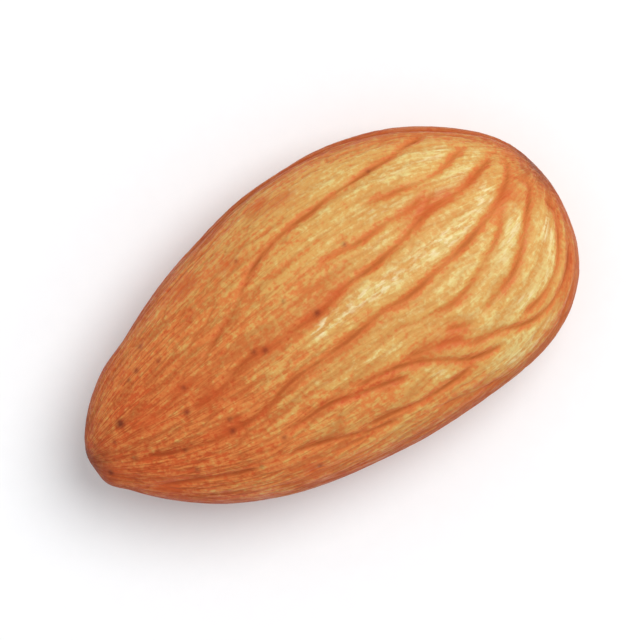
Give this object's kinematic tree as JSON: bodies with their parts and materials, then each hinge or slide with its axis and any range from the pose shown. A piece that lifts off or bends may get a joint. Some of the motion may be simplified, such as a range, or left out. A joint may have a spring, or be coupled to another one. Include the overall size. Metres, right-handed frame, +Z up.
{
  "type": "almond",
  "caption": "Whole shelled almond kernel in its brown skin: a flattened teardrop with one pointed and one broad end, furrowed lengthwise, lying on a small flat spot.",
  "frame": {"origin": "middle of the bounding box, at the height of the surface the kernel rests on", "axes": "+X from the pointed tip towards the broad end, +Z up through the two broad faces, +Y across the kernel"},
  "size_m": [0.024, 0.0136, 0.008],
  "materials": {
    "almond_skin": "dry, slightly glossy brown seed skin"
  },
  "bodies": {
    "root": {"almond_kernel": "almond_skin"}
  },
  "joints": []
}
